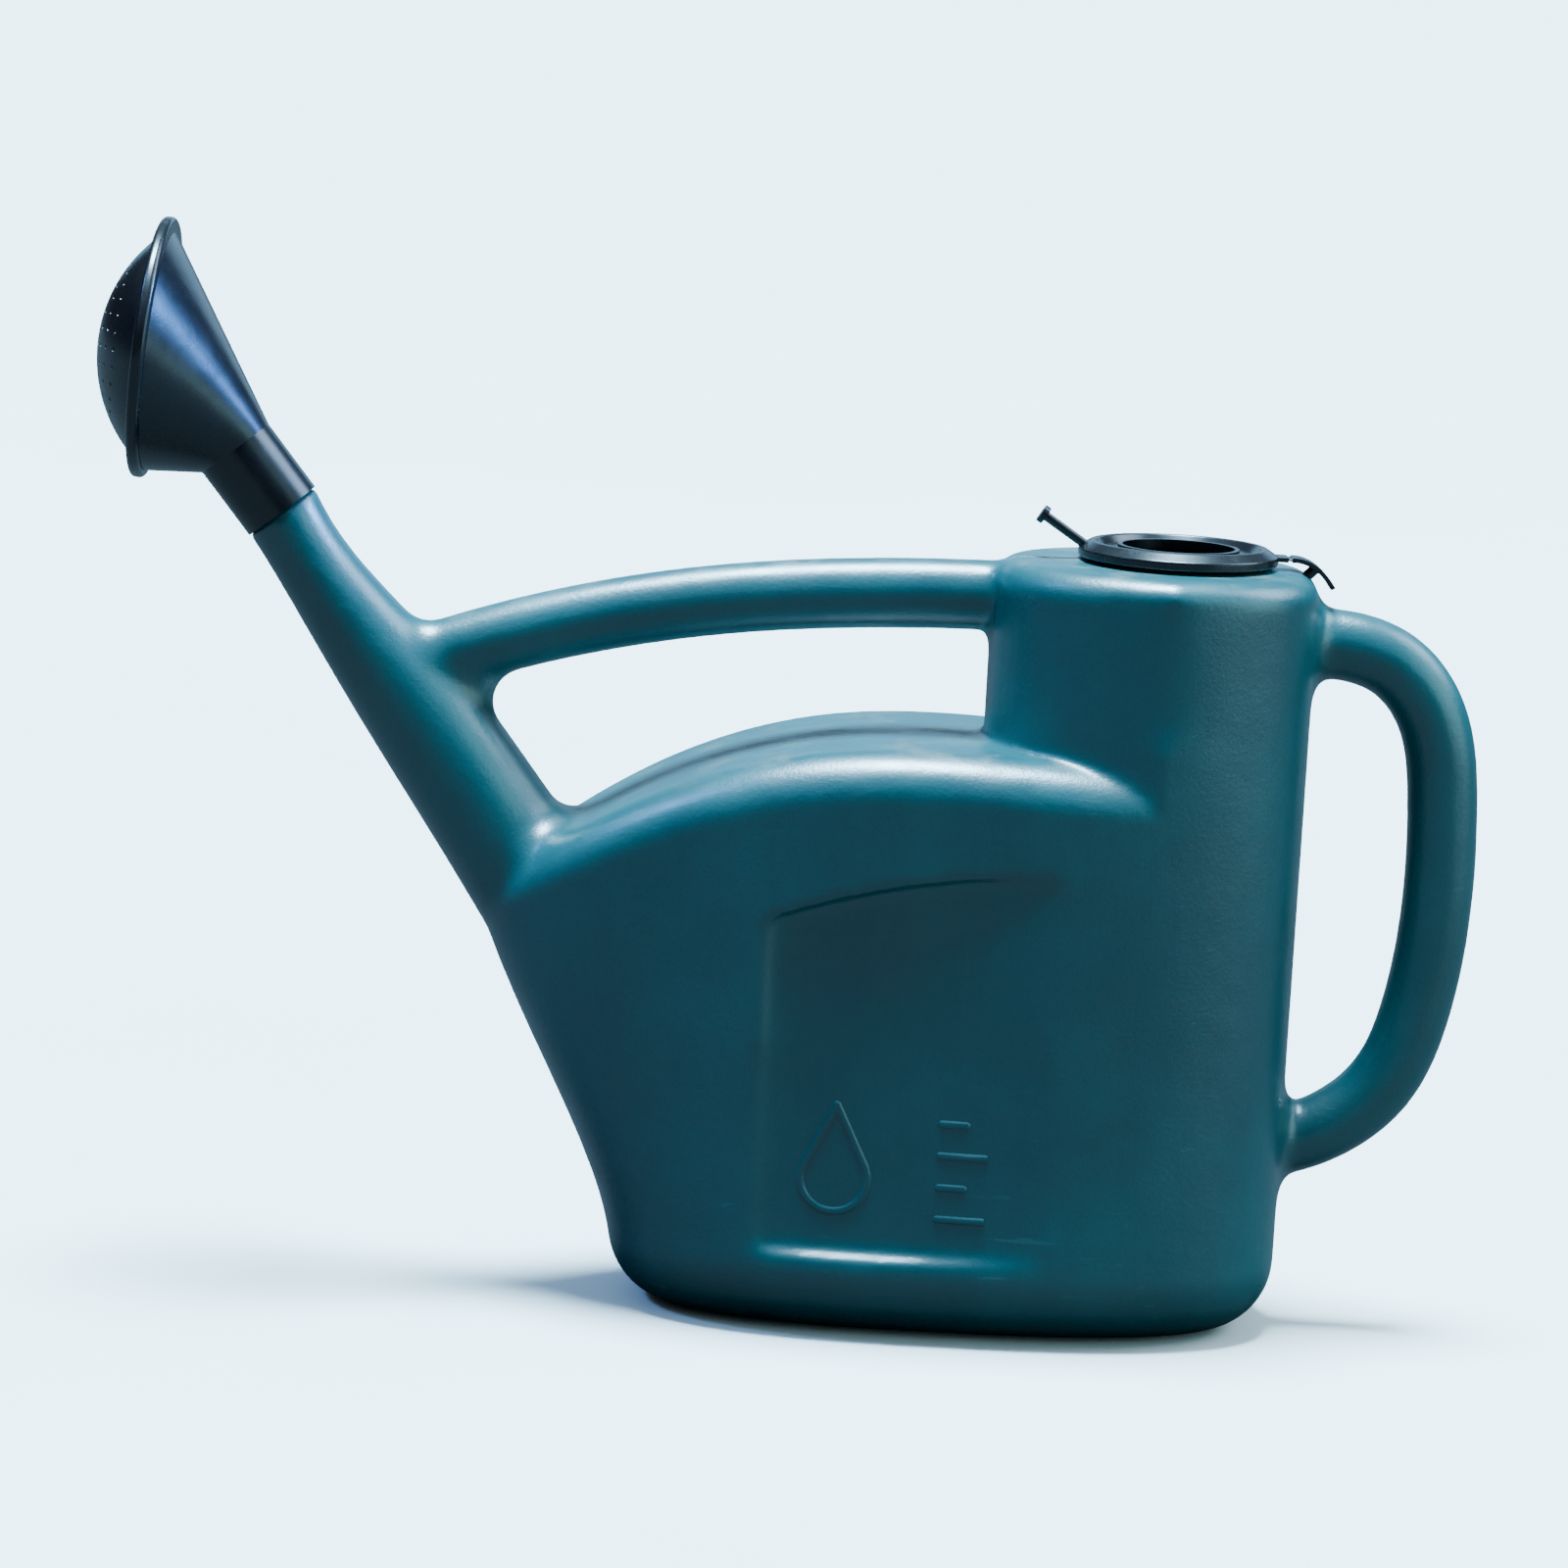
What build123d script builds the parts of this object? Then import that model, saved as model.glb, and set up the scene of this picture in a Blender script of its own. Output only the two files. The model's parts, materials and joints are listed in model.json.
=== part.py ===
"""Nine-litre plastic watering can: a blow-moulded can with a filler tower, two handles and a spout,
a black splash ring that flips up on a strap, and a black push-on rose that turns on the spout.

Frame: +Z up, origin at the centre of the base, spout towards -X, rear handle towards +X.
All lengths are in millimetres.
"""
import os
from math import acos, copysign, cos, degrees, radians, sin

from build123d import *

os.makedirs("parts", exist_ok=True)

# ---------------------------------------------------------------- driving dimensions
WALL = 2.0                    # thickness of the blow-moulded wall

TOWER_TOP_Z = 337.0
TANK_REAR_X = 148.0
TANK_HALF_WIDTH = 75.5
TANK_FULLNESS = 2.6           # superellipse power of the tank's plan
BASE_RADIUS = 32.0            # rounding of the tank's bottom edge
SHOULDER_RADIUS = 20.0        # rounding between the deck and the tank's sides
# height, reach of the front wall, superellipse power of the front half of the plan
TANK_STATIONS = [
    (0.0, 149.0, 2.6), (40.0, 151.0, 2.55), (74.0, 165.0, 2.35), (117.0, 187.0, 2.15),
    (160.0, 207.0, 2.05), (200.0, 221.0, 2.0), (240.0, 232.0, 2.0), (TOWER_TOP_Z, 242.0, 2.0),
]
# the deck's height along the can
DECK_LINE = [(-270.0, 134.0), (-175.0, 209.0), (-122.0, 238.0), (-65.0, 254.5), (5.0, 257.5), (170.0, 257.5)]

TOWER_TOP_RADIUS = 12.0
# half of the tower's plan, from its front wall round to where it runs out through the tank's side
TOWER_PLAN = [(6.0, 0.0), (10.5, 25.0), (26.0, 46.5), (54.0, 62.0), (86.0, 70.0), (112.0, 76.0), (136.0, 90.0)]
CLEAR = 200.0                 # reach of the cutting forms, beyond every wall

NECK_X = 86.0                 # axis of the filler neck
NECK_RADIUS = 38.0
NECK_BORE_RADIUS = 34.0
NECK_TOP_Z = 338.5

SPOUT_LEAN = 39.0             # degrees from upright
MOUTH_X, MOUTH_Z = -304.0, 339.5  # on the spout's axis, where the rose's socket ends
MOUTH_RADIUS = 17.4
NOZZLE_RADIUS = 14.5          # the reduced end that the rose's socket slides over
NOZZLE_LENGTH = 27.0
NOZZLE_WALL = 2.2
# stations of the spout below its mouth, down to its foot inside the tank:
# lower edge (x, z), upper edge (x, z), half-width across the can
SPOUT_STATIONS = [
    ((-302.0, 305.5), (-273.0, 324.0), 18.4),
    ((-277.0, 266.0), (-242.5, 293.0), 21.8),
    ((-249.5, 224.5), (-208.5, 255.5), 25.2),
    ((-224.0, 186.5), (-181.5, 220.5), 27.2),
    ((-199.0, 148.0), (-150.0, 184.0), 28.0),
    ((-168.0, 110.0), (-120.0, 146.0), 28.0),
]

GRIP_HEIGHT = 31.0            # section of both handles, across in the side view
GRIP_WIDTH = 28.0             # and across the can
TOP_GRIP_LINE = [(24.0, 319.0), (-6.0, 319.0), (-54.0, 317.0), (-112.0, 311.0), (-162.0, 301.5), (-250.0, 273.0)]
REAR_GRIP_LINE = [
    (126.0, 303.5), (158.0, 305.5), (183.0, 298.0), (200.5, 277.5), (208.5, 240.0), (209.5, 195.0),
    (203.5, 145.0), (190.0, 110.5), (168.0, 91.0), (126.0, 81.0),
]
GRIP_FILLET = 15.0            # where the top handle meets the spout
SPOUT_FILLET = 12.0           # where the spout leaves the tank

# the recessed panel in the front wall, drawn in the side view
PANEL_LEFT_X, PANEL_RIGHT_X = -83.0, 60.0
PANEL_BOTTOM_Z = 38.0
PANEL_TOP_LINE = [(PANEL_LEFT_X, 184.0), (-36.0, 199.0), (PANEL_RIGHT_X, 209.0)]
PANEL_LEFT_Y, PANEL_RIGHT_Y = -65.2, -75.3  # the flat floor leans out to nothing at its right
PANEL_CORNER_RADIUS = 6.0
PANEL_FLOOR_RADIUS = 3.0

MARK_RAISE = 0.9              # a drop and a level scale stand up from the panel
MARK_STROKE = 4.4
DROP_X, DROP_Z, DROP_RADIUS, DROP_TIP_Z = -50.0, 71.5, 14.5, 104.0
SCALE_X = -7.0
SCALE_MARKS = [(56.5, 24.0), (70.5, 15.0), (84.5, 24.0), (98.5, 15.0)]  # height, length

# the rose
SOCKET_RADIUS = 17.85
SOCKET_BORE_RADIUS = 15.45
SOCKET_THROAT_RADIUS = 14.7
SOCKET_LENGTH = 34.0
SOCKET_GAP = 0.4              # between the socket's end and the spout's mouth
SEAL_INNER_RADIUS = 14.55
SEAL_OUTER_RADIUS = 15.4
SEAL_START, SEAL_STOP = 3.0, 22.0
RIM_X, RIM_Z = -362.0, 408.0  # centre of the rim's flange
RIM_LEAN = 4.9                # degrees the rose's face looks up
RIM_RADIUS = 56.75
RIM_DEPTH = 5.6
RIM_EDGE_RADIUS = 2.2
ROSE_WALL = 2.4
FACE_RADIUS = 52.4
FACE_SEAT_GAP = 0.08
FACE_SEAT_DEPTH = 3.2
FACE_THICKNESS = 1.8
DOME_RADIUS = 49.5
DOME_HEIGHT = 22.5
SPRAY_HOLE_RADIUS = 0.8
SPRAY_RINGS = 6
SPRAY_RING_STEP = 7.4

# the splash ring on the filler
RING_RADIUS = 43.5
RING_BOTTOM_Z = NECK_TOP_Z + 0.3
RING_EDGE_Z = 342.6
RING_TOP_Z = 345.8
RING_SLOPE_WIDTH = 5.0  # the bead's outer side slopes in from its edge
BEAD_WIDTH = 2.4
BEAD_INNER_SLOPE = 2.6
BEAD_RADIUS = 1.1
DISH_FLOOR_Z = 342.6
COLLAR_TOP_Z = 344.8
COLLAR_RADIUS = 24.5
COLLAR_THICKNESS = 2.0
SKIRT_RADIUS = 32.4
SKIRT_THICKNESS = 1.8
SKIRT_BOTTOM_Z = 331.5
STRAP_WIDTH = 13.0
STRAP_THICKNESS = 2.0
HINGE_X, HINGE_Z = 134.0, 341.8
STRAP_LINE = [(HINGE_X + 1.3, HINGE_Z), (142.5, 340.6), (149.2, 336.0), (153.8, 330.2)]
PLUG_X, PLUG_Z = 146.4, 338.6  # the plug holds the strap to the tower's rounded edge
PLUG_RADIUS = 2.4
PLUG_LENGTH = 12.0
PEG_FOOT = (46.1, 343.0)      # the lift peg starts here, inside the bead
PEG_LEAN = 33.0               # degrees above level
PEG_LENGTH = 24.5
PEG_RADIUS = 2.1
PEG_HEAD_RADIUS = 4.0
PEG_HEAD_DEPTH = 2.5

SPOUT_AXIS = Vector(-sin(radians(SPOUT_LEAN)), 0, cos(radians(SPOUT_LEAN)))
SPOUT_ACROSS = Vector(cos(radians(SPOUT_LEAN)), 0, sin(radians(SPOUT_LEAN)))
MOUTH = Vector(MOUTH_X, 0, MOUTH_Z)


# ---------------------------------------------------------------- curves
def superellipse(angle, reach, half_width, fullness):
    """Point at an angle, in degrees, on an oval that is fuller than an ellipse."""
    across, along = sin(radians(angle)), cos(radians(angle))
    x = copysign(reach * abs(along) ** (2 / fullness), along)
    y = copysign(half_width * abs(across) ** (2 / fullness), across)
    return (x, y)


def tank_plan(reach, fullness, inset):
    """Points round the tank's plan, starting at the middle of its rear wall."""
    half_width = TANK_HALF_WIDTH - inset
    side = [superellipse(90 * i / 7, TANK_REAR_X - inset, half_width, TANK_FULLNESS) for i in range(7)]
    side += [superellipse(90 * i / 7, reach - inset, half_width, fullness) for i in range(7, 14)]
    return side + [(-reach + inset, 0.0)] + [(x, -y) for x, y in reversed(side[1:])]


# ---------------------------------------------------------------- forms, each drawn in by an inset
def shoulder_cutter(inset):
    """Everything above the deck and in front of the tower."""
    half = [(x + inset, y - inset) for x, y in TOWER_PLAN[1:]]
    with BuildPart() as cutter:
        with BuildSketch(Plane.XZ.offset(-CLEAR / 2)):
            with BuildLine():
                deck = Spline(*[(x, z - inset) for x, z in DECK_LINE])
                Polyline(deck @ 1, (DECK_LINE[-1][0], 2 * CLEAR), (DECK_LINE[0][0], 2 * CLEAR), deck @ 0)
            make_face()
        extrude(amount=CLEAR)
        with BuildSketch(Plane.XY):
            with BuildLine():
                Spline(*reversed(half), (TOWER_PLAN[0][0] + inset, 0), *[(x, -y) for x, y in half])
                Polyline(half[-1], (CLEAR, half[-1][1]), (CLEAR, -half[-1][1]), (half[-1][0], -half[-1][1]))
            make_face()
        extrude(amount=2 * CLEAR, mode=Mode.SUBTRACT)
    return cutter.part


def tank_form(inset):
    """The tank and its filler tower, rounded at the base, the shoulder and the tower's top."""
    with BuildPart() as form:
        for height, reach, fullness in TANK_STATIONS:
            with BuildSketch(Plane.XY.offset(min(max(height, inset), TOWER_TOP_Z - inset))):
                with BuildLine():
                    Spline(*tank_plan(reach, fullness, inset), periodic=True)
                make_face()
        loft()
        fillet(form.edges().group_by(Axis.Z)[0], BASE_RADIUS - inset)
        add(shoulder_cutter(inset), mode=Mode.SUBTRACT)
        shoulder = form.edges().filter_by(lambda edge: edge.length > 600 and edge.center().Z > 100)
        fillet(shoulder, SHOULDER_RADIUS - inset)
        fillet(form.edges().group_by(Axis.Z)[-1], TOWER_TOP_RADIUS - inset)
    return form.part


def spout_form(inset):
    """The spout, from its mouth down into the tank."""
    mouth = MOUTH - SPOUT_AXIS * inset
    stations = [(mouth - SPOUT_ACROSS * MOUTH_RADIUS, mouth + SPOUT_ACROSS * MOUTH_RADIUS, MOUTH_RADIUS)]
    for (low_x, low_z), (high_x, high_z), half_width in SPOUT_STATIONS:
        stations.append((Vector(low_x, 0, low_z), Vector(high_x, 0, high_z), half_width))
    with BuildPart() as form:
        for low, high, half_width in stations:
            across = (high - low).normalized()
            with BuildSketch(Plane(origin=(low + high) / 2, x_dir=across, z_dir=across.cross(Vector(0, 1, 0)))):
                Ellipse((high - low).length / 2 - inset, half_width - inset)
        loft()
    return form.part


def grip_form(line, inset):
    """A round-section handle along a line in the can's mid-plane."""
    with BuildPart() as form:
        with BuildLine(Plane.XZ) as path:
            Spline(*line)
        start = Plane(origin=path.line @ 0, x_dir=(0, 1, 0), z_dir=path.line % 0)
        with BuildSketch(start):
            Ellipse(GRIP_WIDTH / 2 - inset, GRIP_HEIGHT / 2 - inset)
        sweep(path=path.line)
    return form.part


def panel_plane(inset):
    """Floor of the panel: local X runs along the can, local Y up, local Z out of the front wall."""
    along = Vector(PANEL_RIGHT_X - PANEL_LEFT_X, PANEL_RIGHT_Y - PANEL_LEFT_Y, 0).normalized()
    outward = along.cross(Vector(0, 0, 1))
    return Plane(origin=Vector(PANEL_LEFT_X, PANEL_LEFT_Y, 0) - outward * inset, x_dir=along, z_dir=outward)


def panel_cutter(inset):
    """Everything in front of the panel's floor; rounded only where it is seen."""
    with BuildPart() as cutter:
        with BuildSketch(panel_plane(inset)) as outline:
            with BuildLine():
                top = Spline(*[(x - PANEL_LEFT_X - inset, z + inset) for x, z in PANEL_TOP_LINE])
                bottom_z = PANEL_BOTTOM_Z - inset
                Polyline(top @ 1, ((top @ 1).X, bottom_z), (-inset, bottom_z), top @ 0)
            make_face()
            if not inset:
                fillet(outline.vertices().group_by(Axis.X)[0], PANEL_CORNER_RADIUS)
        extrude(amount=CLEAR / 4)
        if not inset:
            floor = cutter.faces().sort_by(lambda face: -face.center().Y)[0]
            fillet(floor.edges(), PANEL_FLOOR_RADIUS)
    return cutter.part


def joined(base, addition, radius=0, keep=None):
    """Two forms fused, with a fillet along the kept part of the line where they meet."""
    with BuildPart() as union:
        add(base)
        add(addition)
        if radius:
            seam = new_edges(base, addition, combined=union.part)
            fillet(seam.filter_by(keep), radius)
    return union.part


def round_bar(centre, direction, radius, start, stop):
    """A round bar from start to stop along a direction."""
    with BuildPart() as bar:
        with BuildSketch(Plane(origin=centre + direction * start, z_dir=direction)):
            Circle(radius)
        extrude(amount=stop - start)
    return bar.part


def drop_outline(radius, tip_height):
    """A water drop round the origin, with its tip above."""
    half_angle = degrees(acos(radius / tip_height))
    side = (radius * sin(radians(half_angle)), radius * cos(radians(half_angle)))
    with BuildSketch() as drop:
        with BuildLine():
            ThreePointArc(side, (0, -radius), (-side[0], side[1]))
            Polyline((-side[0], side[1]), (0, tip_height), side)
        make_face()
    return drop.sketch


# ---------------------------------------------------------------- the can
outside = joined(tank_form(0), grip_form(REAR_GRIP_LINE, 0))
outside = joined(outside, spout_form(0), SPOUT_FILLET, lambda edge: edge.length > 0.01)
outside = joined(outside, grip_form(TOP_GRIP_LINE, 0), GRIP_FILLET, lambda edge: edge.center().X < -100)

inside = joined(tank_form(WALL), spout_form(WALL))
inside = joined(inside, grip_form(TOP_GRIP_LINE, WALL))
inside = joined(inside, grip_form(REAR_GRIP_LINE, WALL))

with BuildPart() as cavity:
    add(inside)
    add(panel_cutter(WALL), mode=Mode.SUBTRACT)

with BuildPart() as can_shell:
    add(outside)
    add(panel_cutter(0), mode=Mode.SUBTRACT)
    add(cavity.part, mode=Mode.SUBTRACT)

    # neck of the filler and the reduced end of the spout
    with BuildSketch(Plane.XY.offset(TOWER_TOP_Z - WALL / 2)):
        with Locations((NECK_X, 0)):
            Circle(NECK_RADIUS)
    extrude(amount=NECK_TOP_Z - TOWER_TOP_Z + WALL / 2)
    add(round_bar(MOUTH, SPOUT_AXIS, NOZZLE_RADIUS, -WALL / 2, NOZZLE_LENGTH))
    add(round_bar(MOUTH, SPOUT_AXIS, NOZZLE_RADIUS - NOZZLE_WALL, -3 * WALL, NOZZLE_LENGTH + 1), mode=Mode.SUBTRACT)
    with BuildSketch(Plane.XY.offset(TOWER_TOP_Z - 3 * WALL)):
        with Locations((NECK_X, 0)):
            Circle(NECK_BORE_RADIUS)
    extrude(amount=NECK_TOP_Z - TOWER_TOP_Z + 4 * WALL, mode=Mode.SUBTRACT)

    # a water drop and a level scale, raised on the panel
    with BuildSketch(panel_plane(MARK_RAISE)):
        with Locations((DROP_X - PANEL_LEFT_X, DROP_Z)):
            add(drop_outline(DROP_RADIUS, DROP_TIP_Z - DROP_Z))
            add(drop_outline(DROP_RADIUS - MARK_STROKE, DROP_TIP_Z - DROP_Z - 2 * MARK_STROKE), mode=Mode.SUBTRACT)
        for height, length in SCALE_MARKS:
            with Locations((SCALE_X - PANEL_LEFT_X, height)):
                SlotOverall(length, MARK_STROKE)
    extrude(amount=2 * MARK_RAISE)
can_shell.part.label = "can_shell"
export_step(can_shell.part, "parts/can_shell.step")


# ---------------------------------------------------------------- the rose
RIM_NORMAL = Vector(-cos(radians(RIM_LEAN)), 0, sin(radians(RIM_LEAN)))
RIM_CENTRE = Vector(RIM_X, 0, RIM_Z)
RIM_BACK = RIM_CENTRE - RIM_NORMAL * RIM_DEPTH / 2
FACE_SEAT = RIM_CENTRE + RIM_NORMAL * (RIM_DEPTH / 2 - FACE_SEAT_DEPTH)
SIDEWAYS = Vector(0, 1, 0)


def funnel_form(inset, rim_overrun):
    """The rose's funnel: an oblique cone from its socket to its rim."""
    foot = MOUTH + SPOUT_AXIS * SOCKET_LENGTH
    stations = [
        (RIM_BACK + RIM_NORMAL * rim_overrun, RIM_NORMAL, RIM_RADIUS - RIM_EDGE_RADIUS - 1),
        (foot, SPOUT_AXIS, SOCKET_RADIUS),
    ]
    with BuildPart() as form:
        for centre, direction, radius in stations:
            with BuildSketch(Plane(origin=centre, x_dir=SIDEWAYS, z_dir=direction)):
                Circle(radius - inset)
        loft(ruled=True)
    return form.part


with BuildPart() as rim:
    add(round_bar(RIM_CENTRE, RIM_NORMAL, RIM_RADIUS, -RIM_DEPTH / 2, RIM_DEPTH / 2))
    fillet(rim.edges().group_by(SortBy.LENGTH)[-1], RIM_EDGE_RADIUS)

with BuildPart() as rose_body:
    add(round_bar(MOUTH, SPOUT_AXIS, SOCKET_RADIUS, SOCKET_GAP, SOCKET_LENGTH))
    add(funnel_form(0, RIM_EDGE_RADIUS))
    add(rim.part)
    add(round_bar(MOUTH, SPOUT_AXIS, SOCKET_BORE_RADIUS, 0, SEAL_STOP + 2 * SOCKET_GAP), mode=Mode.SUBTRACT)
    add(round_bar(MOUTH, SPOUT_AXIS, SOCKET_THROAT_RADIUS, 0, SOCKET_LENGTH), mode=Mode.SUBTRACT)
    add(funnel_form(ROSE_WALL, RIM_DEPTH), mode=Mode.SUBTRACT)
    add(round_bar(FACE_SEAT, RIM_NORMAL, FACE_RADIUS + FACE_SEAT_GAP, 0, RIM_DEPTH), mode=Mode.SUBTRACT)
rose_body.part.label = "rose_body"
export_step(rose_body.part, "parts/rose_body.step")

with BuildPart() as rose_seal:
    add(round_bar(MOUTH, SPOUT_AXIS, SEAL_OUTER_RADIUS, SEAL_START, SEAL_STOP))
    add(round_bar(MOUTH, SPOUT_AXIS, SEAL_INNER_RADIUS, 0, SOCKET_LENGTH), mode=Mode.SUBTRACT)
rose_seal.part.label = "rose_seal"
export_step(rose_seal.part, "parts/rose_seal.step")

dome_sphere = (DOME_RADIUS**2 + DOME_HEIGHT**2) / (2 * DOME_HEIGHT)
face_plane = Plane(origin=FACE_SEAT + RIM_NORMAL * SOCKET_GAP / 2, x_dir=SIDEWAYS, z_dir=RIM_NORMAL)
with BuildPart() as rose_face:
    # half of the plate's section, turned about the rim's axis
    with BuildSketch(Plane(origin=face_plane.origin, x_dir=SIDEWAYS, z_dir=SIDEWAYS.cross(RIM_NORMAL))):
        with BuildLine():
            outer_arc = ThreePointArc(
                (0, FACE_THICKNESS + DOME_HEIGHT),
                (DOME_RADIUS / 2, FACE_THICKNESS + DOME_HEIGHT - dome_sphere
                    + (dome_sphere**2 - DOME_RADIUS**2 / 4) ** 0.5),
                (DOME_RADIUS, FACE_THICKNESS),
            )
            Polyline(
                outer_arc @ 1, (FACE_RADIUS, FACE_THICKNESS), (FACE_RADIUS, 0), (DOME_RADIUS - FACE_THICKNESS, 0),
            )
            inner_arc = ThreePointArc(
                (DOME_RADIUS - FACE_THICKNESS, 0),
                (DOME_RADIUS / 2, DOME_HEIGHT - dome_sphere + (dome_sphere**2 - DOME_RADIUS**2 / 4) ** 0.5),
                (0, DOME_HEIGHT),
            )
            Line(inner_arc @ 1, outer_arc @ 0)
        make_face()
    revolve(axis=Axis(face_plane.origin, RIM_NORMAL))
    with BuildSketch(face_plane):
        Circle(SPRAY_HOLE_RADIUS)
        for ring in range(1, SPRAY_RINGS):
            with PolarLocations(ring * SPRAY_RING_STEP, 6 * ring):
                Circle(SPRAY_HOLE_RADIUS)
    extrude(amount=DOME_HEIGHT * 2, mode=Mode.SUBTRACT)
rose_face.part.label = "rose_face"
export_step(rose_face.part, "parts/rose_face.step")

# ---------------------------------------------------------------- the splash ring, its strap and its lift peg
BEAD_INNER_RADIUS = RING_RADIUS - RING_SLOPE_WIDTH - BEAD_WIDTH
TAB_START = RING_RADIUS - RING_SLOPE_WIDTH / 2
TAB_STOP = HINGE_X - NECK_X - 0.4
with BuildPart() as filler_ring:
    with BuildSketch(Plane.XZ) as section:
        with BuildLine():
            Polyline(
                (RING_RADIUS, RING_BOTTOM_Z), (RING_RADIUS, RING_EDGE_Z), (BEAD_INNER_RADIUS + BEAD_WIDTH, RING_TOP_Z),
                (BEAD_INNER_RADIUS, RING_TOP_Z), (BEAD_INNER_RADIUS - BEAD_INNER_SLOPE, DISH_FLOOR_Z),
                (COLLAR_RADIUS + COLLAR_THICKNESS, DISH_FLOOR_Z),
                (COLLAR_RADIUS + COLLAR_THICKNESS, COLLAR_TOP_Z), (COLLAR_RADIUS, COLLAR_TOP_Z),
                (COLLAR_RADIUS, DISH_FLOOR_Z - 2), (SKIRT_RADIUS - SKIRT_THICKNESS, DISH_FLOOR_Z - 2),
                (SKIRT_RADIUS - SKIRT_THICKNESS, SKIRT_BOTTOM_Z), (SKIRT_RADIUS, SKIRT_BOTTOM_Z),
                (SKIRT_RADIUS, RING_BOTTOM_Z), close=True,
            )
        make_face()
        bead = [corner for corner in section.vertices() if corner.X > BEAD_INNER_RADIUS - 0.5]
        fillet(bead, BEAD_RADIUS)
    revolve(axis=Axis.Z)
    # tab that reaches back to the strap
    with BuildSketch(Plane.XY.offset(HINGE_Z - STRAP_THICKNESS / 2)):
        with Locations(((TAB_START + TAB_STOP) / 2, 0)):
            Rectangle(TAB_STOP - TAB_START, STRAP_WIDTH)
    extrude(amount=STRAP_THICKNESS)
filler_ring.part.locate(Location((NECK_X, 0, 0)))
filler_ring.part.label = "filler_ring"
export_step(filler_ring.part, "parts/filler_ring.step")

with BuildPart() as ring_strap:
    with BuildSketch(Plane.XZ):
        with BuildLine():
            Spline(*STRAP_LINE)
        trace(line_width=STRAP_THICKNESS)
    extrude(amount=STRAP_WIDTH / 2, both=True)
    add(round_bar(Vector(PLUG_X, 0, PLUG_Z), Vector(-1, 0, -1).normalized(), PLUG_RADIUS, 0, PLUG_LENGTH))
    add(outside, mode=Mode.SUBTRACT)
ring_strap.part.label = "ring_strap"
export_step(ring_strap.part, "parts/ring_strap.step")

peg_axis = Vector(-cos(radians(PEG_LEAN)), 0, sin(radians(PEG_LEAN)))
peg_foot = Vector(PEG_FOOT[0], 0, PEG_FOOT[1])
with BuildPart() as lift_peg:
    add(round_bar(peg_foot, peg_axis, PEG_RADIUS, 0, PEG_LENGTH))
    add(round_bar(peg_foot, peg_axis, PEG_HEAD_RADIUS, PEG_LENGTH - PEG_HEAD_DEPTH, PEG_LENGTH))
    add(filler_ring.part, mode=Mode.SUBTRACT)
lift_peg.part.label = "lift_peg"
export_step(lift_peg.part, "parts/lift_peg.step")
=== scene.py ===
import json
import math

import bmesh
import bpy
import numpy as np
from mathutils import Matrix, Vector


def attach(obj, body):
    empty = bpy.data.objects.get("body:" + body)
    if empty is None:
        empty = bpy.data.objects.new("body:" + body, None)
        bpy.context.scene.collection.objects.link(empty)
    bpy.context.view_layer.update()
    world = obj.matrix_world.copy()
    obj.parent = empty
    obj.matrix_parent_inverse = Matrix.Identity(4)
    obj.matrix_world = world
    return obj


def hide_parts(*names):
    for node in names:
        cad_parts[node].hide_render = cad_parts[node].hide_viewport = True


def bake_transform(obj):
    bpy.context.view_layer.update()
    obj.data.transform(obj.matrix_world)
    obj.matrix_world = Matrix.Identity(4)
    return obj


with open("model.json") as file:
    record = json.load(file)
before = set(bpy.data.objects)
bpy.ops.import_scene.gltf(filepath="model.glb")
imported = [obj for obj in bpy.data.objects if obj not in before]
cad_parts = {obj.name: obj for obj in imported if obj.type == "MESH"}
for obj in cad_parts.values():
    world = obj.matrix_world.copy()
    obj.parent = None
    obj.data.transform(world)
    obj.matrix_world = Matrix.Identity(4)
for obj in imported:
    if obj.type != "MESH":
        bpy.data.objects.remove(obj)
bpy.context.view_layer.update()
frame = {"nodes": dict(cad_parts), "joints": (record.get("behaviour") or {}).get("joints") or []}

MM = 0.001
SCENE = bpy.context.scene


# ---------------------------------------------------------------- node helpers
def new_material(name):
    """An empty node material with its output and one principled shader."""
    material = bpy.data.materials.new(name)
    material.use_nodes = True
    tree = material.node_tree
    tree.nodes.clear()
    output = tree.nodes.new("ShaderNodeOutputMaterial")
    shader = tree.nodes.new("ShaderNodeBsdfPrincipled")
    tree.links.new(shader.outputs["BSDF"], output.inputs["Surface"])
    return material, tree, shader


def place(tree):
    """The surface's own place, in metres."""
    return tree.nodes.new("ShaderNodeTexCoord").outputs["Object"]


def parts_of(tree, vector):
    """A vector's X, Y and Z."""
    split = tree.nodes.new("ShaderNodeSeparateXYZ")
    tree.links.new(vector, split.inputs["Vector"])
    return split.outputs


def noise(tree, where, scale, detail=3.0, roughness=0.5, stretch=(1, 1, 1)):
    mapping = tree.nodes.new("ShaderNodeMapping")
    mapping.inputs["Scale"].default_value = stretch
    tree.links.new(where, mapping.inputs["Vector"])
    texture = tree.nodes.new("ShaderNodeTexNoise")
    texture.inputs["Scale"].default_value = scale
    texture.inputs["Detail"].default_value = detail
    texture.inputs["Roughness"].default_value = roughness
    tree.links.new(mapping.outputs["Vector"], texture.inputs["Vector"])
    return texture.outputs["Fac"]


def ramp(tree, value, low, high, out_low=0.0, out_high=1.0):
    """value taken from low..high to out_low..out_high, smoothly, and held at the ends."""
    node = tree.nodes.new("ShaderNodeMapRange")
    node.interpolation_type = "SMOOTHSTEP"
    tree.links.new(value, node.inputs["Value"])
    node.inputs["From Min"].default_value = low
    node.inputs["From Max"].default_value = high
    node.inputs["To Min"].default_value = out_low
    node.inputs["To Max"].default_value = out_high
    return node.outputs["Result"]


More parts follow.
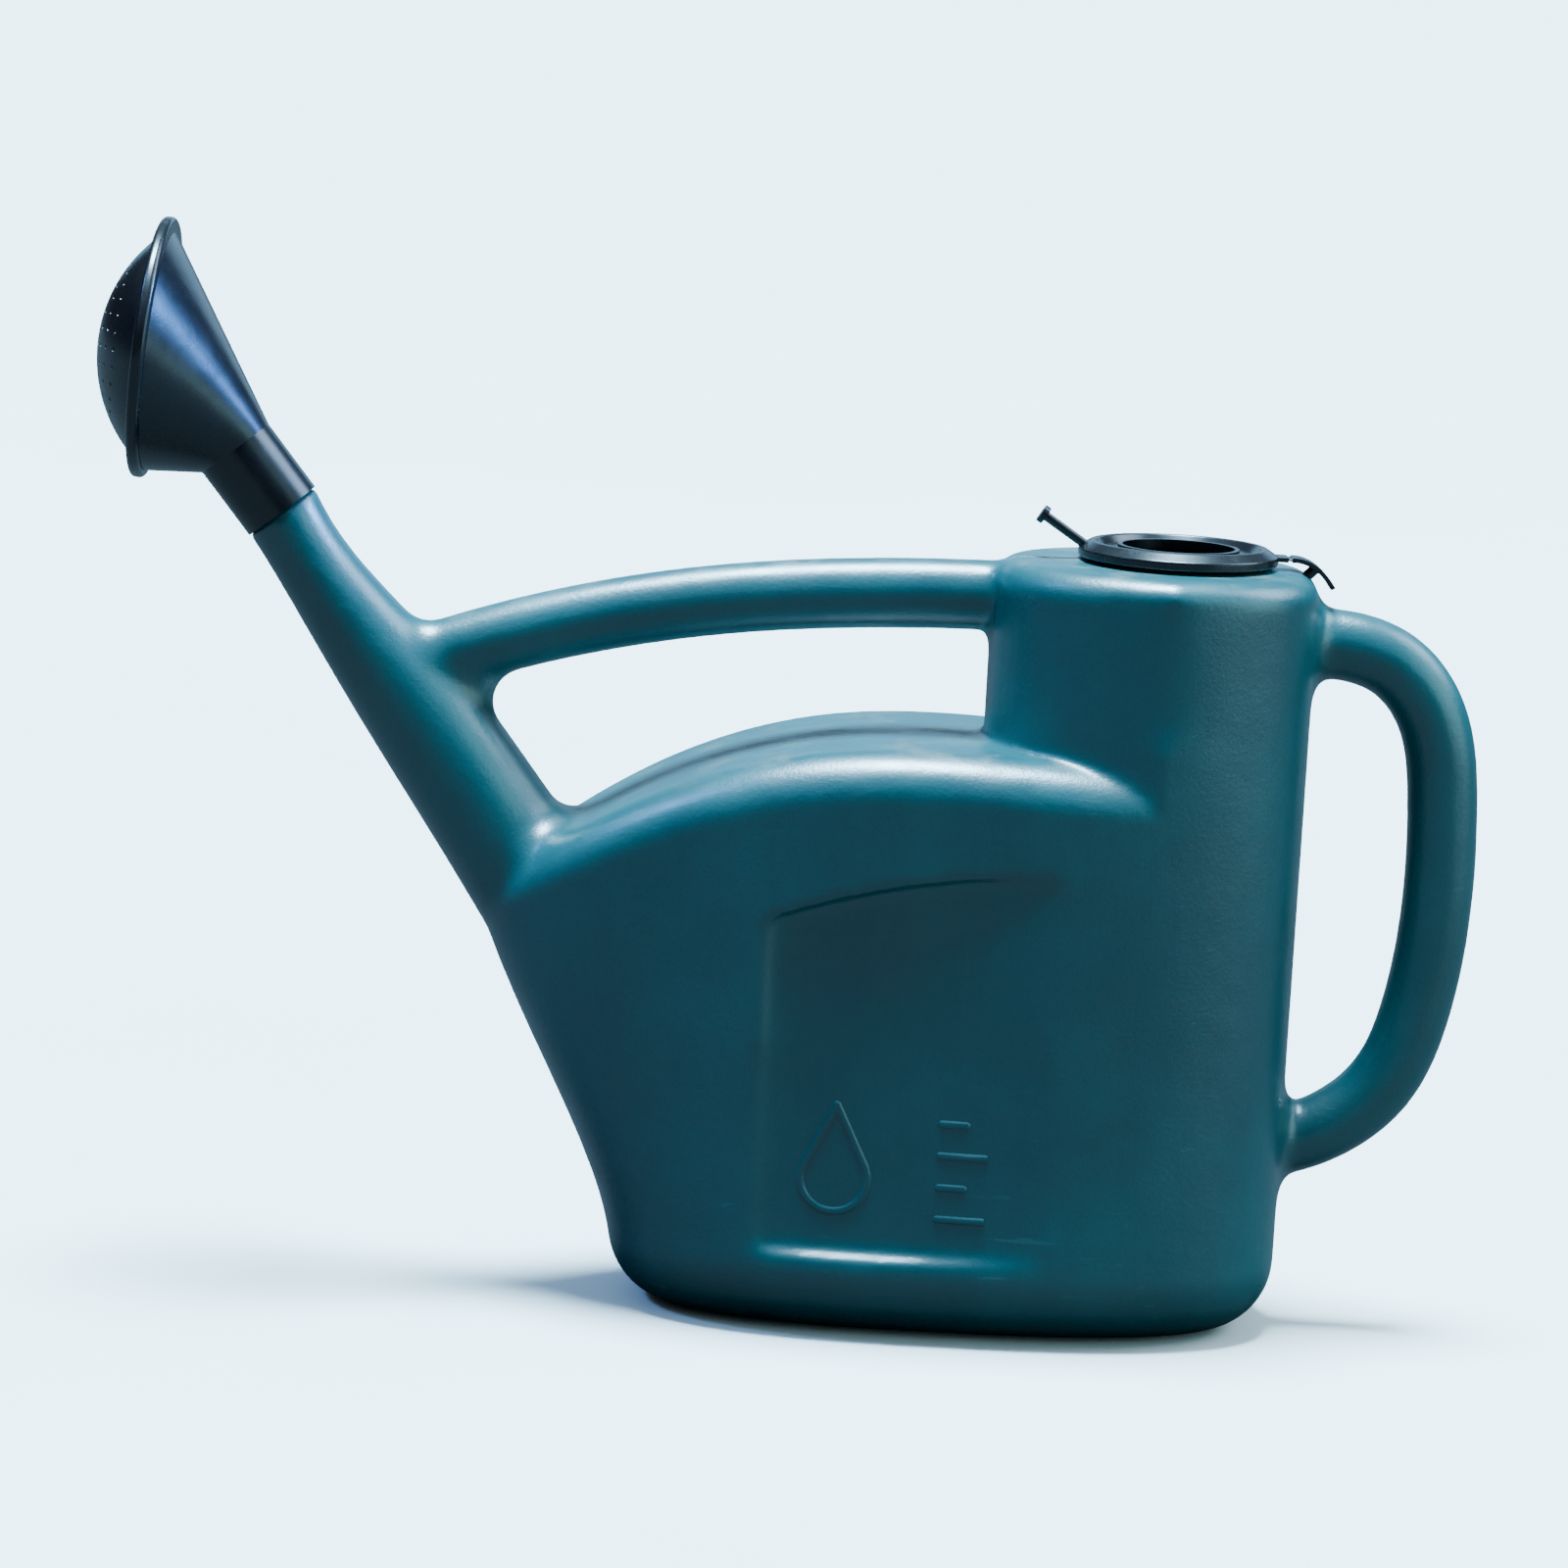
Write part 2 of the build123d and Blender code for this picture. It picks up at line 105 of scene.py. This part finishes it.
def maths(tree, operation, a, b=None):
    node = tree.nodes.new("ShaderNodeMath")
    node.operation = operation
    for socket, value in zip(node.inputs, (a, b)):
        if value is None:
            continue
        if isinstance(value, (int, float)):
            socket.default_value = value
        else:
            tree.links.new(value, socket)
    return node.outputs[0]


def times(tree, a, b):
    return maths(tree, "MULTIPLY", a, b)


def plus(tree, a, b):
    return maths(tree, "ADD", a, b)


def mix(tree, factor, a, b):
    """A colour mix; a and b are colours or sockets."""
    node = tree.nodes.new("ShaderNodeMix")
    node.data_type = "RGBA"
    tree.links.new(factor, node.inputs[0])
    for socket, value in ((node.inputs[6], a), (node.inputs[7], b)):
        if isinstance(value, tuple):
            socket.default_value = (*value, 1.0)
        else:
            tree.links.new(value, socket)
    return node.outputs[2]


def bump(tree, height, strength, distance, below=None):
    node = tree.nodes.new("ShaderNodeBump")
    node.inputs["Strength"].default_value = strength
    node.inputs["Distance"].default_value = distance
    tree.links.new(height, node.inputs["Height"])
    if below is not None:
        tree.links.new(below, node.inputs["Normal"])
    return node.outputs["Normal"]


# ---------------------------------------------------------------- materials
def can_plastic():
    """Blow-moulded polyethylene: teal, satin, faintly pebbled, dusty on top and scuffed low down."""
    material, tree, shader = new_material("can_polyethylene")
    where = place(tree)
    at = parts_of(tree, where)
    facing = parts_of(tree, tree.nodes.new("ShaderNodeNewGeometry").outputs["Normal"])

    clouds = ramp(tree, noise(tree, where, 9.0, 4.0, 0.55), 0.3, 0.7)
    streaks = ramp(tree, noise(tree, where, 26.0, 5.0, 0.6, (1.0, 1.0, 0.25)), 0.35, 0.7)
    colour = mix(tree, clouds, (0.0006, 0.062, 0.074), (0.0014, 0.092, 0.106))
    colour = mix(tree, times(tree, streaks, 0.35), colour, (0.0005, 0.045, 0.062))

    speckle = ramp(tree, noise(tree, where, 1500.0, 2.0, 0.6), 0.60, 0.78)
    colour = mix(tree, times(tree, speckle, 0.16), colour, (0.05, 0.19, 0.21))

    # dry dust lies on what faces up
    up = ramp(tree, facing["Z"], 0.72, 1.0)
    patches = ramp(tree, noise(tree, where, 42.0, 6.0, 0.62), 0.46, 0.66)
    dust = times(tree, times(tree, up, patches), 0.30)
    colour = mix(tree, dust, colour, (0.15, 0.13, 0.10))

    # fine scratches, thickest near the base
    low = ramp(tree, at["Z"], 0.0, 0.12, 1.0, 0.25)
    lines = ramp(tree, noise(tree, where, 210.0, 2.0, 0.5, (0.12, 1.0, 1.6)), 0.665, 0.72)
    worn = ramp(tree, noise(tree, where, 17.0, 3.0, 0.6), 0.50, 0.68)
    scratches = times(tree, times(tree, lines, worn), low)
    colour = mix(tree, times(tree, scratches, 0.45), colour, (0.06, 0.21, 0.24))
    tree.links.new(colour, shader.inputs["Base Color"])

    rough = ramp(tree, noise(tree, where, 34.0, 4.0, 0.6), 0.3, 0.7, 0.30, 0.37)
    rough = plus(tree, rough, times(tree, dust, 0.6))
    rough = plus(tree, rough, times(tree, scratches, 0.15))
    tree.links.new(rough, shader.inputs["Roughness"])
    shader.inputs["IOR"].default_value = 1.5
    shader.inputs["Specular IOR Level"].default_value = 1.0

    # the mould's parting line round the middle plane, the pebbled skin and its slow waves
    off_middle = maths(tree, "ABSOLUTE", at["Y"])
    seam = ramp(tree, off_middle, 0.00025, 0.0008, 1.0, 0.0)
    normal = bump(tree, noise(tree, where, 30.0, 2.0, 0.5), 0.16, 0.0025)
    normal = bump(tree, noise(tree, where, 520.0, 4.0, 0.65), 0.34, 0.0004, normal)
    normal = bump(tree, lines, 0.10, 0.0002, normal)
    normal = bump(tree, seam, 0.8, 0.0004, normal)
    tree.links.new(normal, shader.inputs["Normal"])
    return material


def black_plastic():
    """Injection-moulded polypropylene: blue-black, semi-gloss, with flow marks and handling wear."""
    material, tree, shader = new_material("black_polypropylene")
    where = place(tree)
    facing = parts_of(tree, tree.nodes.new("ShaderNodeNewGeometry").outputs["Normal"])
    clouds = ramp(tree, noise(tree, where, 24.0, 4.0, 0.6), 0.3, 0.7)
    colour = mix(tree, clouds, (0.0006, 0.0008, 0.0022), (0.0014, 0.0018, 0.0046))
    rub = ramp(tree, noise(tree, where, 75.0, 5.0, 0.65, (1.0, 1.0, 0.3)), 0.58, 0.74)
    colour = mix(tree, times(tree, rub, 0.10), colour, (0.012, 0.015, 0.030))
    up = ramp(tree, facing["Z"], 0.75, 1.0)
    dust = times(tree, up, ramp(tree, noise(tree, where, 90.0, 6.0, 0.65), 0.48, 0.70))
    colour = mix(tree, times(tree, dust, 0.08), colour, (0.10, 0.10, 0.10))
    tree.links.new(colour, shader.inputs["Base Color"])
    rough = ramp(tree, noise(tree, where, 60.0, 5.0, 0.6), 0.3, 0.72, 0.25, 0.30)
    rough = plus(tree, rough, times(tree, dust, 0.2))
    tree.links.new(rough, shader.inputs["Roughness"])
    shader.inputs["IOR"].default_value = 1.49
    shader.inputs["Specular IOR Level"].default_value = 0.7
    normal = bump(tree, noise(tree, where, 55.0, 2.0, 0.5), 0.10, 0.0015)
    normal = bump(tree, noise(tree, where, 900.0, 3.0, 0.6), 0.10, 0.0002, normal)
    tree.links.new(normal, shader.inputs["Normal"])
    return material


def seal_rubber():
    """Dark grey elastomer with a dull, slightly mottled skin."""
    material, tree, shader = new_material("seal_elastomer")
    where = place(tree)
    clouds = ramp(tree, noise(tree, where, 120.0, 4.0, 0.6), 0.3, 0.7)
    colour = mix(tree, clouds, (0.016, 0.016, 0.017), (0.030, 0.030, 0.032))
    tree.links.new(colour, shader.inputs["Base Color"])
    rough = ramp(tree, noise(tree, where, 300.0, 3.0, 0.6), 0.3, 0.7, 0.68, 0.85)
    tree.links.new(rough, shader.inputs["Roughness"])
    tree.links.new(bump(tree, noise(tree, where, 1200.0, 3.0, 0.6), 0.25, 0.0003), shader.inputs["Normal"])
    return material


def pale_floor():
    """A plain floor with the faintest mottling, pale to the camera and dark in reflections and bounced light."""
    material, tree, shader = new_material("pale_floor")
    where = place(tree)
    clouds = ramp(tree, noise(tree, where, 3.0, 4.0, 0.6), 0.3, 0.7)
    pale = mix(tree, clouds, (0.93, 0.90, 0.87), (0.96, 0.93, 0.90))
    seen = tree.nodes.new("ShaderNodeLightPath").outputs["Is Camera Ray"]
    tree.links.new(mix(tree, seen, (0.045, 0.047, 0.05), pale), shader.inputs["Base Color"])
    shader.inputs["Roughness"].default_value = 0.9
    shader.inputs["Specular IOR Level"].default_value = 0.2
    return material


CAN_PLASTIC = can_plastic()
BLACK_PLASTIC = black_plastic()
SEAL_RUBBER = seal_rubber()


# ---------------------------------------------------------------- mesh helpers
def object_from(mesh, name, material):
    mesh.materials.clear()
    mesh.materials.append(material)
    mesh.polygons.foreach_set("material_index", np.zeros(len(mesh.polygons), np.int32))
    mesh.polygons.foreach_set("use_smooth", np.ones(len(mesh.polygons), bool))
    piece = bpy.data.objects.new(name, mesh)
    SCENE.collection.objects.link(piece)
    return piece


def with_modifiers(piece):
    """The piece's mesh with its modifiers applied, as a new mesh."""
    bpy.context.view_layer.update()
    graph = bpy.context.evaluated_depsgraph_get()
    return bpy.data.meshes.new_from_object(piece.evaluated_get(graph))


def points_of(mesh):
    at = np.empty(len(mesh.vertices) * 3)
    mesh.vertices.foreach_get("co", at)
    return at.reshape(-1, 3)


def normals_of(mesh, at):
    mesh.vertices.foreach_set("co", at.ravel())
    mesh.update()
    out = np.empty(len(mesh.vertices) * 3)
    mesh.vertex_normals.foreach_get("vector", out)
    return out.reshape(-1, 3)


def edges_of(mesh):
    ends = np.empty(len(mesh.edges) * 2, np.int64)
    mesh.edges.foreach_get("vertices", ends)
    return ends.reshape(-1, 2)


def neighbour_mean(at, ends, count):
    """Each point's neighbours' mean."""
    total = np.empty_like(at)
    for axis in range(3):
        total[:, axis] = np.bincount(ends[:, 0], at[ends[:, 1], axis], len(at))
        total[:, axis] += np.bincount(ends[:, 1], at[ends[:, 0], axis], len(at))
    return total / count[:, None]


NORMALS_EVERY = 8   # outward smoothing measures the surface's direction again after so many steps


def smooth_points(at, ends, weight, steps, mesh=None, outward=False):
    """Laplacian smoothing.

    With outward, a point of mesh moves only out of the surface, so hollows fill and ridges stay.
    """
    count = np.maximum(np.bincount(ends.ravel(), minlength=len(at)), 1)
    normal = None
    for step in range(steps):
        shift = 0.5 * (neighbour_mean(at, ends, count) - at)
        if outward:
            if step % NORMALS_EVERY == 0:
                normal = normals_of(mesh, at)
            along = (shift * normal).sum(1)
            shift -= np.minimum(along, 0)[:, None] * normal
        at = at + weight[:, None] * shift
    return at


def eased(value, low, high):
    """0 below low and 1 above high, with a smooth rise between."""
    share = np.clip((value - low) / (high - low), 0, 1)
    return share * share * (3 - 2 * share)


SPOT_EDGE = 0.35    # the outer share of a spot's radius, over which it eases off


def near_points(at, spots):
    """1 at the middle of each spot, easing to 0 at its radius; spots are (x, y, z, radius) in millimetres."""
    weight = np.zeros(len(at))
    for x, y, z, radius in spots:
        away = np.linalg.norm(at - np.array([x, y, z]) * MM, axis=1) / (radius * MM)
        weight = np.maximum(weight, eased(1 - away, 0, SPOT_EDGE))
    return weight


# ---------------------------------------------------------------- the can
FINE_VOXEL = 1.5
VOXEL = FINE_VOXEL
WALL = 2.0
UP = Vector((0, 0, 1))
LEAN = math.radians(39.0)
SPOUT_UP = Vector((-math.sin(LEAN), 0, math.cos(LEAN)))
MOUTH = Vector((-0.304, 0, 0.3395))
NECK_FOOT = Vector((0.086, 0, 0.300))
# a bore is its base point, its axis, and its radius, start and stop along the axis in millimetres
NECK_BORE = (NECK_FOOT, UP, 34.0, 35.0, 38.6)
NOZZLE_BORE = (MOUTH, SPOUT_UP, 12.3, 0.5, 27.2)
NECK_LID = (NECK_FOOT, UP, 33.6, 30.0, 60.0)
NOZZLE_LID = (MOUTH, SPOUT_UP, 12.0, 20.0, 40.0)
BORE_SLACK = 0.3    # a bore's own faces count as inside it

# roots of the handles and the spout, as (x, y, z, radius) in millimetres
COVES = [
    (150, 0, 98, 44), (150, 0, 72, 30), (150, 0, 320, 26), (150, 0, 288, 30),
    (25, 0, 334, 26), (26, 0, 302, 24), (-176, 0, 205, 40), (-244, 0, 300, 34),
]
# where the tower rises out of the deck
CREASES = [(15, y, 258, 30) for y in (-40, -20, 0, 20, 40)] + [
    (x, side * 70, z, 30) for side in (-1, 1) for x, z in ((40, 256), (70, 254), (100, 248), (130, 240))
]
COVE_STEPS, CREASE_STEPS, FADE_STEPS, EDGE_STEPS, EVEN_STEPS = 150, 6, 260, 26, 8
SILL_SHARE = 0.6


def in_bore(point, bore, slack):
    base, axis, radius, start, stop = bore
    along = (point - base).dot(axis)
    off = (point - base - along * axis).length
    return start * MM < along < stop * MM and off < (radius + slack) * MM


def faces_in(work, bores, slack):
    return [f for f in work.faces if any(in_bore(f.calc_center_median(), bore, slack) for bore in bores)]


def outer_skin(node, bores):
    """The outside of a hollow CAD solid, closed over its bores, as a new mesh."""
    work = bmesh.new()
    work.from_mesh(frame["nodes"][node].data)
    bmesh.ops.remove_doubles(work, verts=work.verts, dist=2e-6)
    bmesh.ops.delete(work, geom=faces_in(work, bores, BORE_SLACK), context="FACES")
    work.verts.ensure_lookup_table()
    outermost = max((v for v in work.verts if v.link_faces), key=lambda v: v.co.x)
    keep = {outermost}
    to_visit = [outermost]
    while to_visit:
        vertex = to_visit.pop()
        for link in vertex.link_edges:
            other = link.other_vert(vertex)
            if other not in keep:
                keep.add(other)
                to_visit.append(other)
    bmesh.ops.delete(work, geom=[v for v in work.verts if v not in keep], context="VERTS")
    open_edges = [e for e in work.edges if len(e.link_faces) == 1]
    bmesh.ops.holes_fill(work, edges=open_edges, sides=0)
    bmesh.ops.triangulate(work, faces=work.faces[:])
    mesh = bpy.data.meshes.new(node + "_skin")
    work.to_mesh(mesh)
    work.free()
    return mesh


def opened(mesh, bores):
    """Takes out the faces that close each bore."""
    work = bmesh.new()
    work.from_mesh(mesh)
    bmesh.ops.delete(work, geom=faces_in(work, bores, 0), context="FACES")
    work.to_mesh(mesh)
    work.free()


PANEL_LEFT, PANEL_WIDTH = -83.0, 143.0
FLOOR_AT_LEFT, FLOOR_AT_RIGHT = -65.2, -75.3


def panel_floor(x):
    """The Y of the recessed panel's flat floor, which leans out from left to right."""
    share = (x / MM - PANEL_LEFT) / PANEL_WIDTH
    return MM * (FLOOR_AT_LEFT + share * (FLOOR_AT_RIGHT - FLOOR_AT_LEFT))


# the moulded marks, in millimetres
DROP_PLACE, DROP_RADIUS, DROP_TIP, DROP_POINTS = (-50.0, 71.5), 14.5, 32.5, 60
BAR_LEFT, BAR_END = -7.0, 2.2
BARS = ((56.5, 24.0), (70.5, 15.0), (84.5, 24.0), (98.5, 15.0))
MARK_STEP, MARK_HALF_WIDTH, MARK_RISE, MARK_ROOT = 0.4, 2.0, 0.9, 0.25
MARK_REACH = 1.25   # a ridge meets the floor at so many half widths


def drop_line(radius, tip):
    """A drop's closed outline about its round middle, in millimetres."""
    lean = math.acos(radius / tip)
    turn = np.linspace(math.pi / 2 + lean, math.pi / 2 - lean + 2 * math.pi, DROP_POINTS)
    return [(radius * math.cos(a), radius * math.sin(a)) for a in turn] + [(0.0, tip)]


def away_from(points, line, closed):
    """Each point's distance from a run of straight lines, all in millimetres."""
    nearest = np.full(len(points), 1e9)
    runs = list(zip(line, line[1:] + line[:1])) if closed else list(zip(line, line[1:]))
    for start, stop in runs:
        a, b = np.array(start), np.array(stop)
        share = np.clip((points - a) @ (b - a) / max((b - a) @ (b - a), 1e-9), 0, 1)
        nearest = np.minimum(nearest, np.linalg.norm(points - a - share[:, None] * (b - a), axis=1))
    return nearest


def make_marks():
    """The moulded drop and level bars, as low rounded ridges on the panel's floor."""
    across = np.arange(-72.0, 16.0, MARK_STEP)
    up = np.arange(50.0, 110.0, MARK_STEP)
    x, z = (g.ravel() for g in np.meshgrid(across, up, indexing="ij"))
    flat = np.stack([x, z], 1)
    drop = [(DROP_PLACE[0] + a, DROP_PLACE[1] + b) for a, b in drop_line(DROP_RADIUS, DROP_TIP)]
    away = away_from(flat, drop, True)
    for height, length in BARS:
        bar = [(BAR_LEFT + BAR_END, height), (BAR_LEFT + length - BAR_END, height)]
        away = np.minimum(away, away_from(flat, bar, False))
    ridge = MARK_RISE * eased(MARK_REACH - away / MARK_HALF_WIDTH, 0, 1) - MARK_ROOT
    keep = away < MARK_REACH * MARK_HALF_WIDTH + MARK_STEP
    number = np.full(len(x), -1)
    number[keep] = np.arange(keep.sum())
    grid = number.reshape(len(across), len(up))
    faces = np.stack([grid[:-1, :-1], grid[1:, :-1], grid[1:, 1:], grid[:-1, 1:]], -1).reshape(-1, 4)
    faces = faces[(faces >= 0).all(1)]
    y = panel_floor(x * MM) - ridge * MM
    at = np.stack([x * MM, y, z * MM], 1)[keep]
    mesh = bpy.data.meshes.new("panel_marks")
    mesh.from_pydata(at.tolist(), [], faces.tolist())
    marks = object_from(mesh, "panel_marks", CAN_PLASTIC)
    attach(marks, "can")


def soft_regions(at):
    """How far each point of the can smooths: the tower's side, the panel's right fade, and the recess's edges."""
    x, y, z = at.T / MM
    front = at[:, 1] < -0.056
    tower = eased(x, 46, 62) * eased(-x, -116, -96) * eased(z, 262, 280) * eased(-z, -330, -322)
    tower *= eased(np.abs(y), 46, 56)
    fade = eased(x, 30, 48) * eased(-x, -84, -66) * eased(z, 48, 62) * eased(-z, -204, -190) * eased(-y, 60, 66)
    left = eased(x, -94, -88) * eased(-x, 72, 78) * eased(z, 34, 44) * eased(-z, -186, -176) * front
    sill = eased(x, -90, -80) * eased(-x, -66, -56) * eased(z, 28, 33) * eased(-z, -46, -41) * front
    return np.maximum(tower, fade), np.maximum(left, SILL_SHARE * sill)


def marked_points(at):
    """The points of the recess's floor that carry the marks."""
    return (np.abs(at[:, 0] + 0.028) < 0.042) & (np.abs(at[:, 2] - 0.080) < 0.032) & (at[:, 1] < -0.058)


def make_can():
    skin = outer_skin("can_shell", (NECK_BORE, NOZZLE_BORE))
    form = object_from(skin, "can_form", CAN_PLASTIC)
    remesh = form.modifiers.new("even", "REMESH")
    remesh.mode = "VOXEL"
    remesh.voxel_size = VOXEL * MM
    remesh.adaptivity = 0.0
    mesh = with_modifiers(form)
    bpy.data.objects.remove(form)
    at = points_of(mesh)
    ends = edges_of(mesh)
    fine = (FINE_VOXEL / VOXEL) ** 2
    # hollows at the roots of the handles and the spout fill to soft coves
    at = smooth_points(at, ends, near_points(at, COVES), int(COVE_STEPS * fine), mesh, outward=True)
    at = smooth_points(at, ends, near_points(at, CREASES), int(CREASE_STEPS * fine), mesh, outward=True)
    # the tower's side runs into the tank's, and the panel's floor into the wall, without an edge
    at = smooth_points(at, ends, soft_regions(at)[0], int(FADE_STEPS * fine))
    # the recess has soft edges, softest at its left
    at = smooth_points(at, ends, soft_regions(at)[1], int(EDGE_STEPS * fine))
    at = smooth_points(at, ends, np.ones(len(at)), int(EVEN_STEPS * fine))
    marked = marked_points(at)
    at[marked, 1] = panel_floor(at[marked, 0])
    mesh.vertices.foreach_set("co", at.ravel())
    mesh.update()
    opened(mesh, (NECK_LID, NOZZLE_LID))
    can = object_from(mesh, "can_moulding", CAN_PLASTIC)
    wall = can.modifiers.new("wall", "SOLIDIFY")
    wall.thickness = WALL * MM
    wall.offset = -1.0
    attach(can, "can")
    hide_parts("can_shell")


make_can()
make_marks()


# ---------------------------------------------------------------- the black parts
def make_hinge_web():
    """The thin flexible web between the ring's tab and the strap, made as a fixed mesh at the hinge."""
    hinge = Vector(frame["joints"][0]["pos_m"])
    half_width, half_length, edge, steps = 0.0055, 0.0021, 0.0004, 14
    work = bmesh.new()
    rows = []
    for step in range(steps + 1):
        along = -1 + 2 * step / steps
        x = hinge.x + half_length * along
        thick = 0.00045 + 0.0005 * along * along
        rows.append([work.verts.new((x, y, hinge.z + z)) for y, z in (
            (-half_width, -thick * 0.6), (-half_width + edge, -thick), (half_width - edge, -thick),
            (half_width, -thick * 0.6), (half_width, thick * 0.6), (half_width - edge, thick),
            (-half_width + edge, thick), (-half_width, thick * 0.6))])
    for a, b in zip(rows, rows[1:]):
        for i in range(8):
            work.faces.new((a[i], a[(i + 1) % 8], b[(i + 1) % 8], b[i]))
    work.faces.new(rows[0])
    work.faces.new(rows[-1])
    bmesh.ops.recalc_face_normals(work, faces=work.faces[:])
    mesh = bpy.data.meshes.new("strap_web")
    work.to_mesh(mesh)
    work.free()
    web = object_from(mesh, "strap_web", BLACK_PLASTIC)
    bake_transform(web)


make_hinge_web()
FINISHES = {name: BLACK_PLASTIC for name in ("filler_ring", "lift_peg", "ring_strap", "rose_body", "rose_face")}
FINISHES["rose_seal"] = SEAL_RUBBER
for node, finish in FINISHES.items():
    for slot in frame["nodes"][node].material_slots:
        slot.material = finish


# ---------------------------------------------------------------- floor, light and camera
FLOOR_REACH = 4000.0    # far enough for the floor to meet the background at eye level


def make_floor():
    work = bmesh.new()
    bmesh.ops.create_grid(work, x_segments=8, y_segments=8, size=FLOOR_REACH)
    mesh = bpy.data.meshes.new("floor")
    work.to_mesh(mesh)
    work.free()
    floor = object_from(mesh, "floor", pale_floor())


def add_light(kind, name, towards, power, colour):
    """A light that shines along towards, at the origin."""
    light = bpy.data.lights.new(name, kind)
    light.energy = power
    light.color = colour
    lamp = bpy.data.objects.new(name, light)
    lamp.rotation_euler = Vector(towards).to_track_quat("-Z", "Y").to_euler()
    SCENE.collection.objects.link(lamp)
    return lamp


def area_light(name, place_at, look_at, width, height, power, colour):
    lamp = add_light("AREA", name, Vector(look_at) - Vector(place_at), power, colour)
    lamp.location = place_at
    lamp.visible_camera = False
    lamp.data.shape = "RECTANGLE"
    lamp.data.size = width
    lamp.data.size_y = height


def sun_light(name, towards, power, spread, colour):
    lamp = add_light("SUN", name, towards, power, colour)
    lamp.data.angle = math.radians(spread)


def spot_light(name, place_at, look_at, cone, radius, power, colour):
    lamp = add_light("SPOT", name, Vector(look_at) - Vector(place_at), power, colour)
    lamp.location = place_at
    lamp.visible_camera = False
    lamp.data.spot_size = math.radians(cone)
    lamp.data.spot_blend = 0.6
    lamp.data.shadow_soft_size = radius


def make_world():
    world = bpy.data.worlds.new("studio")
    SCENE.world = world
    world.use_nodes = True
    tree = world.node_tree
    background = tree.nodes["Background"]
    towards = parts_of(tree, tree.nodes.new("ShaderNodeTexCoord").outputs["Generated"])
    height = ramp(tree, towards["Z"], 0.25, 1.0)
    dome = mix(tree, height, (0.035, 0.04, 0.05), (0.42, 0.66, 0.84))
    seen = tree.nodes.new("ShaderNodeLightPath").outputs["Is Camera Ray"]
    tree.links.new(mix(tree, seen, dome, (0.86, 0.86, 0.86)), background.inputs["Color"])
    background.inputs["Strength"].default_value = 1.0


def make_camera():
    target = Vector((-0.080, 0.0, 0.231))
    rise, roll = math.radians(9.5), math.radians(3.0)
    away = 2.18
    camera = bpy.data.cameras.new("camera")
    camera.sensor_width = 36.0
    camera.lens = 114.1
    camera.clip_end = 3 * FLOOR_REACH
    view = bpy.data.objects.new("camera", camera)
    spot = target + away * Vector((0.0, -math.cos(rise), math.sin(rise)))
    turn = Matrix.Rotation(math.pi / 2 - rise, 4, "X") @ Matrix.Rotation(roll, 4, "Z")
    view.matrix_world = Matrix.Translation(spot) @ turn
    SCENE.collection.objects.link(view)
    SCENE.camera = view


make_floor()
make_world()
sun_light("overhead", (0.06, -0.02, -1.0), 21.0, 19.0, (0.46, 0.78, 1.0))
sun_light("side", (-0.70, -0.12, -0.66), 2.6, 34.0, (0.55, 0.78, 1.0))
spot_light("rose_edge", (1.02, 0.17, 0.96), (-0.345, 0.0, 0.385), 13.0, 0.06, 150.0, (0.12, 0.36, 1.0))
spot_light("rose_dome", (-1.28, -0.12, 1.38), (-0.385, 0.0, 0.435), 10.0, 0.24, 190.0, (0.16, 0.42, 1.0))
area_light("front", (2.6, -1.25, 1.1), (0.02, 0.0, 0.18), 2.4, 1.8, 32.0, (0.50, 0.95, 1.0))
area_light("behind", (0.0, 3.2, 1.15), (0.0, 0.0, 0.30), 3.6, 0.9, 18.0, (0.36, 0.68, 1.0))
make_camera()
